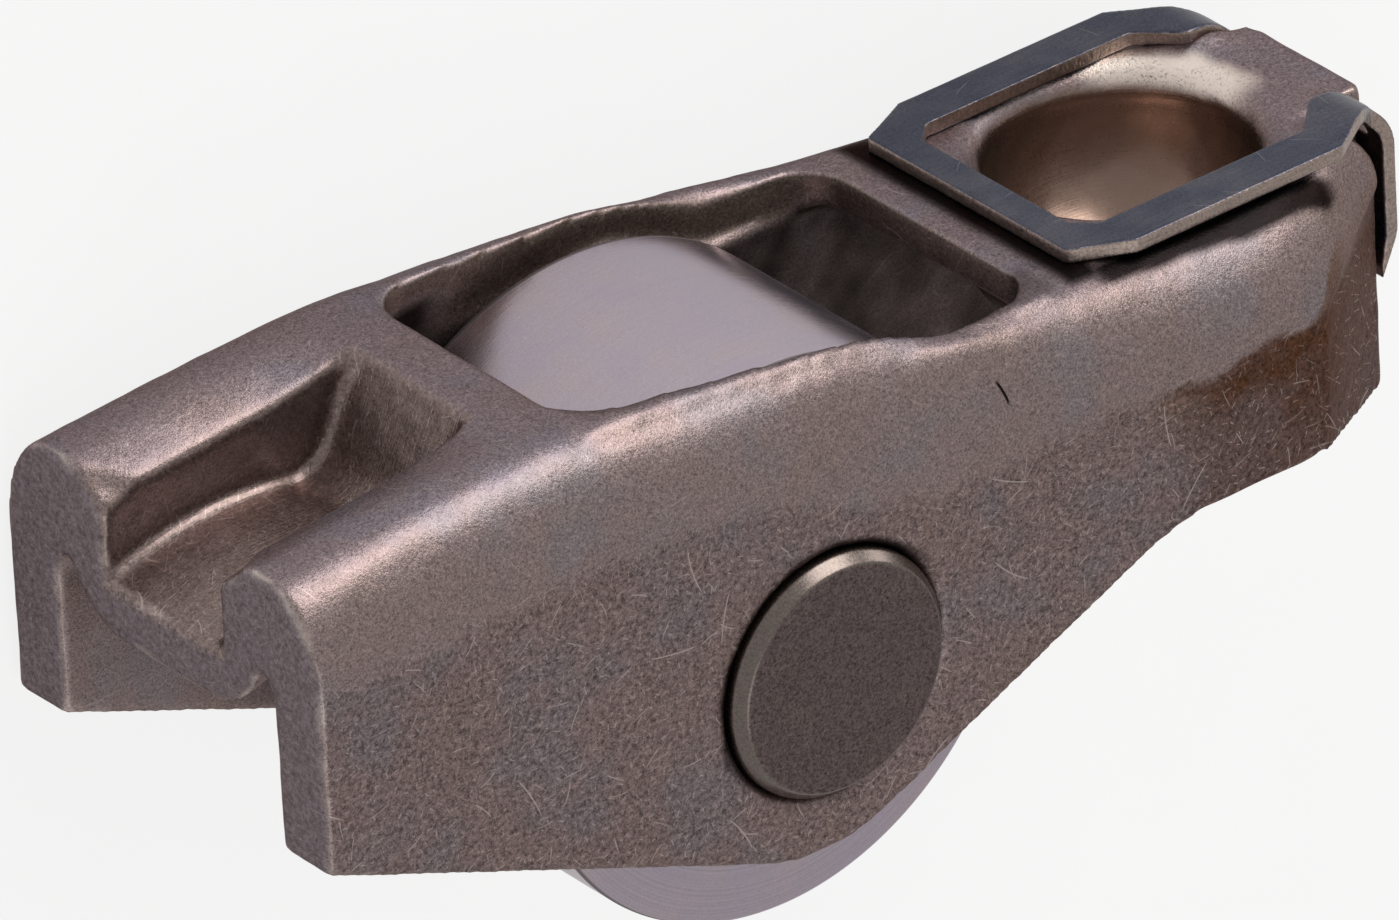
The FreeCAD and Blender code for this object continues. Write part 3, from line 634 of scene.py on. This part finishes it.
# %% Wires
class Wire:
    """A node's output that can be added, subtracted and multiplied as if it were a number."""

    def __init__(self, tree, socket=None):
        self.tree, self.socket = tree, socket

    def make(self, kind, settings=None, inputs=None, output=0):
        """Any node: its settings first, then a value or a wire for each input; returns one output."""
        node = self.tree.nodes.new(kind)
        for name, value in (settings or {}).items():
            setattr(node, name, value)
        for name, value in (inputs or {}).items():
            if isinstance(value, Wire):
                self.tree.links.new(value.socket, node.inputs[name])
            else:
                node.inputs[name].default_value = value
        return Wire(self.tree, node.outputs[output]) if node.outputs else None

    def beside(self, output):
        """Another output of the same node."""
        return Wire(self.tree, self.socket.node.outputs[output])

    def maths(self, operation, *values):
        """A Math node, or a Vector Math node where one of the values is a place or a colour."""
        wires = [value for value in values if isinstance(value, Wire)]
        wide = any(wire.socket.type in ("VECTOR", "RGBA") for wire in wires)
        if wide:
            values = [(value,) * 3 if isinstance(value, (int, float)) else value for value in values]
        kind = "ShaderNodeVectorMath" if wide else "ShaderNodeMath"
        return self.make(kind, {"operation": operation}, dict(enumerate(values)))

    def __add__(self, other):
        return self.maths("ADD", self, other)

    def __radd__(self, other):
        return self.maths("ADD", other, self)

    def __sub__(self, other):
        return self.maths("SUBTRACT", self, other)

    def __rsub__(self, other):
        return self.maths("SUBTRACT", other, self)

    def __mul__(self, other):
        return self.maths("MULTIPLY", self, other)

    def part(self, axis):
        """One number of a place: 0 for x, 1 for y, 2 for z."""
        return self.make("ShaderNodeSeparateXYZ", inputs={0: self}, output=axis)


# %% [markdown]
# ## The patterns that steel shows
#
# Four patterns are enough for every piece. Noise gives grain and stains, a smooth step turns it
# into patches with a border, a mix lays one colour over another, and the last draws short lines: a
# cell pattern gives each scratch its own middle, angle, bend and chance of being there at all.

# %% Patterns
def start_finish(name):
    """An empty material, and the place on the piece in mm, from which every pattern starts."""
    material = bpy.data.materials.new(name)
    material.use_nodes = True
    material.node_tree.nodes.clear()
    place = Wire(material.node_tree).make("ShaderNodeTexCoord", output="Object")
    return material, place * (1 / MM)


def noise(place, size, detail=1.0, rough=0.5):
    """Smooth random values, mostly in -1..1, in lumps of the given size in mm."""
    inputs = {"Vector": place, "Scale": 1 / size, "Detail": detail, "Roughness": rough}
    return place.make("ShaderNodeTexNoise", inputs=inputs) * 4 - 2


def step(value, low, high):
    """0 below low, 1 above high, smooth between."""
    inputs = {"Value": value, "From Min": low, "From Max": high}
    return value.make("ShaderNodeMapRange", {"interpolation_type": "SMOOTHSTEP"}, inputs)


def mix(first, second, share):
    """First colour at share 0, second colour at share 1."""
    ends = [(*colour, 1.0) if isinstance(colour, tuple) else colour for colour in (first, second)]
    inputs = {0: share, 6: ends[0], 7: ends[1]}
    return share.make("ShaderNodeMix", {"data_type": "RGBA"}, inputs, 2)


def field(place, name):
    """One of the named values that the net carries."""
    return place.make("ShaderNodeAttribute", {"attribute_name": name}, output="Fac")


def scratches(place, x, y, spacing, length, width, chance):
    """Bent lines through cell middles: 1 where |dx sin a - dy cos a + bend along^2| < width."""
    flat = place.make("ShaderNodeCombineXYZ", inputs={0: x, 1: y})
    settings = {"voronoi_dimensions": "2D"}
    inputs = {"Vector": flat, "Scale": 1 / spacing}
    cell = place.make("ShaderNodeTexVoronoi", settings, inputs, "Position")
    draw = cell.beside("Color")
    away = flat - cell
    angle = draw.part(0) * (2 * math.pi)
    cos, sin = place.maths("COSINE", angle), place.maths("SINE", angle)
    along = place.maths("ABSOLUTE", away.part(0) * cos + away.part(1) * sin)
    bend = along * along * (draw.part(2) - 0.5) * (0.7 / length)
    across = place.maths("ABSOLUTE", away.part(0) * sin - away.part(1) * cos + bend)
    line = (1 - step(across, width * 0.3, width)) * (1 - step(along, length * 0.3, length * 0.5))
    return line * step(draw.part(1), 1 - chance - 0.02, 1 - chance)


def finish_surface(place, colour, roughness, height, metallic=1.0, grazing=(1.0, 1.0, 1.0)):
    """The metal itself: height is in mm, and grazing is the share left at a very flat angle."""
    bump = place.make("ShaderNodeBump", inputs={"Strength": 1.0, "Distance": MM, "Height": height})
    inputs = {"Base Color": colour, "Roughness": roughness, "Metallic": metallic, "Normal": bump,
              "Specular Tint": (*grazing, 1.0)}
    shader = place.make("ShaderNodeBsdfPrincipled", inputs=inputs)
    place.make("ShaderNodeOutputMaterial", inputs={"Surface": shader})


# %% [markdown]
# ## The arm's steel
#
# Tumbled, hardened sheet steel is pewter grey with a salt-and-pepper grain, not a smooth metal. The
# grain is two sizes of noise, in the colour and as a depth of a few thousandths of a millimetre.
# Over it lie faint bluish and brownish patches, then the places: the flat below the crease darker
# and browner, the heat tint, the smoked rear, the slate cut faces, the brown ground slot, the inside
# painted near black as shade, the polished socket, the level top painted darker as shade and the
# painted shade on the walls of the window. Scratches of three lengths cross them in every direction.
# Last come the rubbed corners, partly wear and partly painted highlight, the painted highlight on
# the collar behind the socket, the painted shade and dirt in the hollows, the painted shadows under
# the clip and round the axle, and one deep nick in the side wall, because these go over everything.

# %% The nick and the arm's scratches
nick_x, nick_y, nick_depth = 7.9, 7.45, 0.03


def side_nick(place):
    """One short bent line, high on the near side wall beside the roller."""
    x, y, z = [place.part(axis) for axis in range(3)]
    along = (x - nick_x) * 0.37 - (y - nick_y) * 0.93
    across = (x - nick_x) * 0.93 + (y - nick_y) * 0.37
    line = 1 - step(place.maths("ABSOLUTE", across + along * along * 0.12), 0.03, 0.075)
    return line * (1 - step(place.maths("ABSOLUTE", along), 0.35, 0.62)) * step(z, 6.0, 7.0)


def arm_lines(place, fleck, stain):
    """Three lengths of scratch, the brightest one at each place; offsets keep them independent."""
    x, y, z = [place.part(axis) for axis in range(3)]
    across, down = x + z * 0.9, y - place.maths("ABSOLUTE", z)
    tiny = scratches(place, across + 11, down + 41, 0.34, 0.32, 0.026, 0.5) * step(fleck, -0.5, 0.3)
    short = scratches(place, across, down, 0.9, 1.0, 0.028, 0.45) * step(stain, -0.6, 0.4)
    long = scratches(place, across + 31, down + 7, 2.9, 2.2, 0.034, 0.3)
    return place.maths("MAXIMUM", place.maths("MAXIMUM", tiny * 0.8, short * 0.9), long * 0.9)


# %% [markdown]
# ## The arm's colours in their order
#
# The colours are laid one over another, from the pewter that is everywhere to the painted shadows
# and dirt on top. Each share is one of the arm's named values, broken up by the noise where the real
# border is ragged.

# %% Arm finish
pewter_warm, pewter_cool = (0.325, 0.252, 0.245), (0.300, 0.255, 0.265)
pewter_brown = (0.325, 0.245, 0.215)
# The level top's multiplier paints shade on faces that look up.
flat_shade, smoke_shade, level_top_painted_shade = (0.80, 0.77, 0.77), (0.60, 0.51, 0.48), (0.78, 0.79, 0.86)
straw_brown, slate, slot_brown = (0.175, 0.078, 0.033), (0.185, 0.153, 0.168), (0.26, 0.20, 0.185)
# The inside's near black is painted shade.
inside_shade_black, socket_bronze, window_shade = (0.014, 0.010, 0.008), (0.30, 0.21, 0.17), (0.16, 0.122, 0.104)
# The rubbed steel is partly wear and partly painted edge highlight; the brightest is the collar's
# painted highlight.
scratch_steel, rubbed_and_highlit_steel, collar_highlight_colour = (0.66, 0.56, 0.53), (0.82, 0.70, 0.64), (0.98, 0.86, 0.78)
# The hollows' colour is painted shade and dirt; the near black is painted shadow under the clip and
# round the axle, and also fills the nick.
hollow_shade_and_dirt, shadow_and_nick_black = (0.030, 0.024, 0.022), (0.004, 0.003, 0.003)
steel_grazing = (0.50, 0.44, 0.42)


def arm_finish():
    """Base colour = grey grain, mixed towards each place's colour by that place's named value."""
    material, place = start_finish("tumbled_arm_steel")
    grain = noise(place, 0.12, 2.0, 0.6) * 0.6 + noise(place, 0.06, 1.0) * 0.4
    patch, stain = noise(place, 3.2, 2.0), noise(place, 1.1, 3.0)
    fleck = noise(place, 0.22, 3.0, 0.85)
    flat, tint = field(place, "pressed_flat"), field(place, "heat_tint")
    cut, slot = field(place, "cut_face"), field(place, "ground_slot")
    cup, inside = field(place, "polished_cup"), field(place, "inside")
    worn, hollow = field(place, "worn"), field(place, "hollow")
    shaded = field(place, "window_wall")
    lines, nick = arm_lines(place, fleck, stain), side_nick(place)

    colour = mix(pewter_warm, pewter_cool, step(patch, -0.1, 0.9))
    colour = mix(colour, pewter_brown, step(patch * -1 + stain * 0.3, 0.15, 1.0) * 0.5)
    colour = mix(colour, colour * flat_shade, flat * (0.8 + stain * 0.25))
    colour = mix(colour, straw_brown, tint * (0.85 + stain * 0.2))
    colour = mix(colour, colour * smoke_shade, field(place, "smoked"))
    colour = mix(colour, slate, cut * 0.9)
    colour = mix(colour, slot_brown, slot * 0.85)
    # The inside of the channel is painted near black as shade.
    colour = mix(colour, inside_shade_black, inside * 0.97)
    colour = mix(colour, socket_bronze, cup)
    # Faces that look up are painted darker and cooler as shade.
    colour = mix(colour, colour * level_top_painted_shade, field(place, "level_top"))
    colour = mix(colour, window_shade, shaded * (1 - inside))

    salt = 1 + grain * (0.54 - cup * 0.48 - slot * 0.2 - tint * 0.15 - cut * 0.2)
    salt = salt + fleck * (0.14 + flat * 0.56 + cut * 0.4 + slot * 0.3 - cup * 0.12)
    salt = salt + stain * flat * 0.12
    colour = colour * place.maths("MAXIMUM", salt, 0.4)
    shown = (0.32 + flat * 0.56 + slot * 0.4) * (1 - tint * 0.6) * (1 - cut * 0.4)
    colour = mix(colour, scratch_steel, lines * shown * (1 - inside))

    # Rubbed corners, partly wear and partly painted highlight along the edges.
    rubbed_and_highlit = worn * step(grain * 0.6 + stain * 0.5, -1.3, 0.5) * (0.8 - inside * 0.5)
    colour = mix(colour, rubbed_and_highlit_steel, rubbed_and_highlit)
    # The collar behind the socket is painted bright as a highlight.
    collar_highlight = field(place, "collar_painted_highlight") * step(grain + stain * 0.4, -1.5, 0.1)
    colour = mix(colour, collar_highlight_colour, collar_highlight * 0.95)
    # Hollows darkened by painted shade and dirt, and painted shade on the window's near rim.
    colour = mix(colour, hollow_shade_and_dirt, hollow * step(stain, -2.2, -0.6) * 0.92)
    # Painted shadow under the clip and round the axle, and the black of the nick.
    colour = mix(colour, shadow_and_nick_black, place.maths("MAXIMUM", field(place, "gap_shadow"), nick) * 0.96)

    roughness = 0.37 + grain * 0.08 + patch * 0.02 + flat * 0.03 + inside * 0.12 - worn * 0.1
    roughness = roughness - slot * 0.04 - cup * 0.17 + tint * 0.04 + shaded * 0.14
    ground = noise(place * (1.2, 1.0, 14.0), 1.0, 2.0) * slot
    turned = noise(place * (0.6, 16.0, 0.6), 1.0, 2.0) * cup
    height = (grain * 0.0036 + stain * 0.003) * (1 - cup) * (1 - slot * 0.5) - nick * nick_depth
    height = height + ground * 0.003 + turned * 0.0010
    finish_surface(place, colour, roughness, height, 0.94, steel_grazing)
    return material


arm_piece.data.materials.append(arm_finish())
print("arm finish nodes:", len(arm_piece.data.materials[0].node_tree.nodes))

# %% [markdown]
# ## The clip's blue spring steel
#
# Tempering leaves the rolled faces a dark blue-grey that turns copper where the strap was bent and
# heated again. The sheared edges are bare and brownish, and the corners between the two are rubbed
# to a thin bright line. Rolling leaves faint lines along the strip, so one noise is drawn out along x.

# %% Clip finish
dark_blue, pale_blue, copper = (0.060, 0.066, 0.098), (0.10, 0.098, 0.125), (0.20, 0.14, 0.11)
sheared_steel, bright_edge, scratched_blue = (0.46, 0.37, 0.325), (0.55, 0.53, 0.52), (0.36, 0.36, 0.38)


def clip_finish():
    """Blue oxide, mixed to bare steel by cut_edge, to copper by hook and to bright by worn."""
    material, place = start_finish("blued_spring_steel")
    grain = noise(place, 0.09, 2.0) * 0.6 + noise(place, 0.04, 1.0) * 0.4
    patch = noise(place, 2.1, 2.0)
    rolled = noise(place * (0.4, 6.0, 6.0), 1.0, 2.0)
    edge, worn, hook = field(place, "cut_edge"), field(place, "worn"), field(place, "hook")
    colour = mix(dark_blue, pale_blue, step(patch, -0.7, 0.8))
    colour = mix(colour, copper, hook * step(patch + rolled * 0.3, -0.8, 0.5) * 0.7)
    colour = mix(colour, sheared_steel, edge * 0.9)
    colour = colour * (1 + grain * 0.5 + rolled * 0.12)
    colour = mix(colour, bright_edge, worn * step(grain + patch * 0.3, -0.9, 0.6) * 0.75)
    lines = scratches(place, place.part(0), place.part(2), 1.3, 1.1, 0.02, 0.35)
    colour = mix(colour, scratched_blue, lines * 0.45)
    roughness = 0.30 + grain * 0.05 + edge * 0.1 - worn * 0.05 + patch * 0.02
    torn = edge * noise(place * (3.0, 1.0, 3.0), 0.4, 3.0)
    height = grain * 0.002 + rolled * 0.0012 + torn * 0.01
    finish_surface(place, colour, roughness, height, 0.96)
    return material


clip_piece.data.materials.append(clip_finish())
print("clip finish nodes:", len(clip_piece.data.materials[0].node_tree.nodes))

# %% [markdown]
# ## Turned and ground steel
#
# The roller's tread is centreless ground, which leaves fine lines that run round it, so its noise
# hardly changes round the axis and quickly along it. Its sides and the axle's ends are faced, which
# leaves rings about the middle. The axle's ends are also etched matt and stained, and the chamfers
# round them are a little brighter.

# %% Roller, axle and needle finishes
tread_colours = (0.52, 0.455, 0.535), (0.55, 0.47, 0.51)
# The tread's corner band is painted dark as shade.
tread_corner_painted_shade = (0.14, 0.12, 0.12)
axle_round_colour, axle_end_colour = (0.215, 0.18, 0.165), (0.15, 0.114, 0.112)
axle_stain_colour, axle_scratch_colour = (0.17, 0.13, 0.12), (0.34, 0.31, 0.29)
needle_colours = (0.56, 0.55, 0.54), (0.62, 0.60, 0.58)


def lines_round(place, fineness):
    """Noise that hardly changes round the axis and quickly along it."""
    return noise(place * (0.12, 0.12, fineness), 1.0, 2.0)


def from_axis(place):
    """Distance from the axis, in mm."""
    x, y = place.part(0), place.part(1)
    return place.maths("SQRT", x * x + y * y)


def rings(place, fineness):
    """Noise of the distance from the axis alone: faint rings."""
    line = place.make("ShaderNodeCombineXYZ", inputs={0: from_axis(place) * fineness})
    return noise(line, 1.0, 2.0)


def roller_finish():
    """Pale ground steel: lines round the tread, rings on the sides, a painted dark band of shade
    between.
    """
    material, place = start_finish("ground_roller_steel")
    grain = noise(place, 0.07, 2.0)
    patch = noise(place, 2.6, 2.0)
    half = place.maths("ABSOLUTE", place.part(2))
    side = step(half, roller_half - 0.12, roller_half - 0.04)
    corner = step(half, roller_half - 0.36, roller_half - 0.26) * (1 - side)
    tread = lines_round(place, 9.0) * 0.6 + lines_round(place, 28.0) * 0.4
    faced = rings(place, 11.0)
    colour = mix(*tread_colours, step(patch, -0.6, 0.9))
    # The tread's corner is painted dark as shade.
    colour = mix(colour, tread_corner_painted_shade, corner * 0.85)
    colour = colour * (1 + tread * (1 - side) * 0.04 + faced * side * 0.12 + grain * 0.08)
    roughness = 0.26 + tread * 0.02 + side * 0.08 + corner * 0.34 + patch * 0.02
    height = tread * (1 - side) * 0.0006 + faced * side * 0.0014 + grain * 0.0006
    finish_surface(place, colour, roughness, height)
    return material


def axle_finish():
    """Matt dark end with speckle and faint rings, brighter on the ground round and the chamfer."""
    material, place = start_finish("etched_axle_steel")
    grain = noise(place, 0.10, 2.0) * 0.6 + noise(place, 0.045, 1.0) * 0.4
    patch = noise(place, 1.4, 3.0)
    face_radius = axle_radius - end_chamfer
    face = 1 - step(from_axis(place), face_radius - 0.08, face_radius + 0.02)
    colour = mix(axle_round_colour, axle_end_colour, face)
    colour = mix(colour, axle_stain_colour, face * step(patch, 0.0, 1.0) * 0.6)
    lines = scratches(place, place.part(0), place.part(1), 0.8, 0.7, 0.018, 0.5)
    colour = mix(colour * (1 + grain * (0.4 + face * 0.5)), axle_scratch_colour, lines * face * 0.25)
    roughness = 0.28 + face * 0.2 + grain * 0.05
    height = grain * (0.0008 + face * 0.0030) + rings(place, 7.0) * face * 0.0012 - lines * face * 0.003
    finish_surface(place, colour, roughness, height)
    return material


def needle_finish():
    """Polished bearing steel with the faintest lines round each needle."""
    material, place = start_finish("polished_needle_steel")
    fine = lines_round(place, 14.0)
    colour = mix(*needle_colours, step(fine, -1.0, 1.0))
    finish_surface(place, colour, 0.16 + fine * 0.03, fine * 0.0005)
    return material


roller_piece.data.materials.append(roller_finish())
axle_piece.data.materials.append(axle_finish())
needle_steel = needle_finish()
for needle in needle_pieces:
    needle.data.materials.append(needle_steel)
print("finishes:", [material.name for material in bpy.data.materials])

# %% [markdown]
# ## The table
#
# The part lies on a white sheet, on the lower end of its axle. The sheet glows a little by itself,
# which keeps it white round the part, and the rest of it takes the part's soft shadow. It glows
# less in what the steel reflects than in what the camera sees, so that the steel stays dark below.
# The sheet reaches so far that its edge never shows.

# %% Table
floor_half = 1500
floor_z = cad_box[0][2] / MM
glow_in_view, glow_on_steel = 0.82, 0.3
corners = np.array([(-1, -1), (1, -1), (1, 1), (-1, 1)]) * floor_half * MM
floor_mesh = bpy.data.meshes.new("white_sheet")
floor_mesh.from_pydata([(x, y, floor_z * MM) for x, y in corners.tolist()], [], [(0, 1, 2, 3)])
floor = bpy.data.objects.new("white_sheet", floor_mesh)
scene.collection.objects.link(floor)


def sheet_finish():
    """White paper, mixed with glow by glow_in_view to the camera and glow_on_steel elsewhere."""
    material, place = start_finish("white_sheet")
    fibre = step(noise(place, 4.0, 2.0), -1, 1)
    white = mix((0.9, 0.9, 0.9), (0.93, 0.93, 0.93), fibre)
    paper = place.make("ShaderNodeBsdfPrincipled",
                       inputs={"Base Color": white, "Roughness": 0.9, "Specular IOR Level": 0.1})
    glow = place.make("ShaderNodeEmission", inputs={"Color": (1.0, 1.0, 1.0, 1.0), "Strength": 1.0})
    seen = place.make("ShaderNodeLightPath", output="Is Camera Ray")
    share = seen * (glow_in_view - glow_on_steel) + glow_on_steel
    both = place.make("ShaderNodeMixShader", inputs={0: share, 1: paper, 2: glow})
    place.make("ShaderNodeOutputMaterial", inputs={"Surface": both})
    return material


floor_mesh.materials.append(sheet_finish())
print("table at z =", round(floor_z, 2), "mm")

# %% [markdown]
# ## The light
#
# The room is white to the camera and a plain pale grey to the steel. Three soft lights shape the
# part. The largest stands low over the sheet on the side that the valve pad faces, which the
# picture shows as up: it draws the bright band along the arm's front shoulder. A smaller one beyond
# the socket's end lights the rear. The third hangs high on the camera's side and opens the shadows
# on the side wall.

# %% Light
room_colour, room_level = (1, 0.985, 0.97, 1), 0.5


def surround():
    """White to the camera, and room_colour times room_level for all that the part reflects."""
    world = bpy.data.worlds.new("studio")
    world.use_nodes = True
    world.node_tree.nodes.clear()
    blank = Wire(world.node_tree)
    seen = blank.make("ShaderNodeLightPath", output="Is Camera Ray")
    grey = blank.make("ShaderNodeBackground", inputs={"Color": room_colour, "Strength": room_level})
    white = blank.make("ShaderNodeBackground", inputs={"Color": (1, 1, 1, 1), "Strength": 1.0})
    both = blank.make("ShaderNodeMixShader", inputs={0: seen, 1: grey, 2: white})
    blank.make("ShaderNodeOutputWorld", inputs={"Surface": both})
    return world


def soft_light(name, towards, distance, width, height, radiance, colour):
    """A flat light facing the part, power = radiance * pi * area; lengths are in mm."""
    way = np.array(towards, dtype=float)
    way /= np.linalg.norm(way)
    data = bpy.data.lights.new(name, "AREA")
    data.shape = "RECTANGLE"
    data.size, data.size_y = width * MM, height * MM
    data.energy = radiance * math.pi * data.size * data.size_y
    data.color = colour
    light = bpy.data.objects.new(name, data)
    side = np.cross((0.0, 0.0, 1.0), way)
    side /= np.linalg.norm(side)
    light_axes = np.stack([side, np.cross(way, side), way], axis=1)
    light.matrix_world = standing(light_axes, way * distance * MM)
    scene.collection.objects.link(light)
    return light


scene.world = surround()
warm_white, plain_white = (1.0, 0.96, 0.92), (1, 1, 1)
# Each light: name, way to it from the part, distance, width, height, radiance, colour.
lights = [soft_light("back_softbox", (0.42, 0.80, 0.30), 420, 230, 235, 3.9, warm_white),
          soft_light("rear_strip", (0.92, 0.38, 0.11), 420, 110, 130, 2.6, warm_white),
          soft_light("camera_side_fill", (-0.3, -0.35, 0.9), 500, 320, 260, 0.7, plain_white)]
print("lights:", [light.name for light in lights])
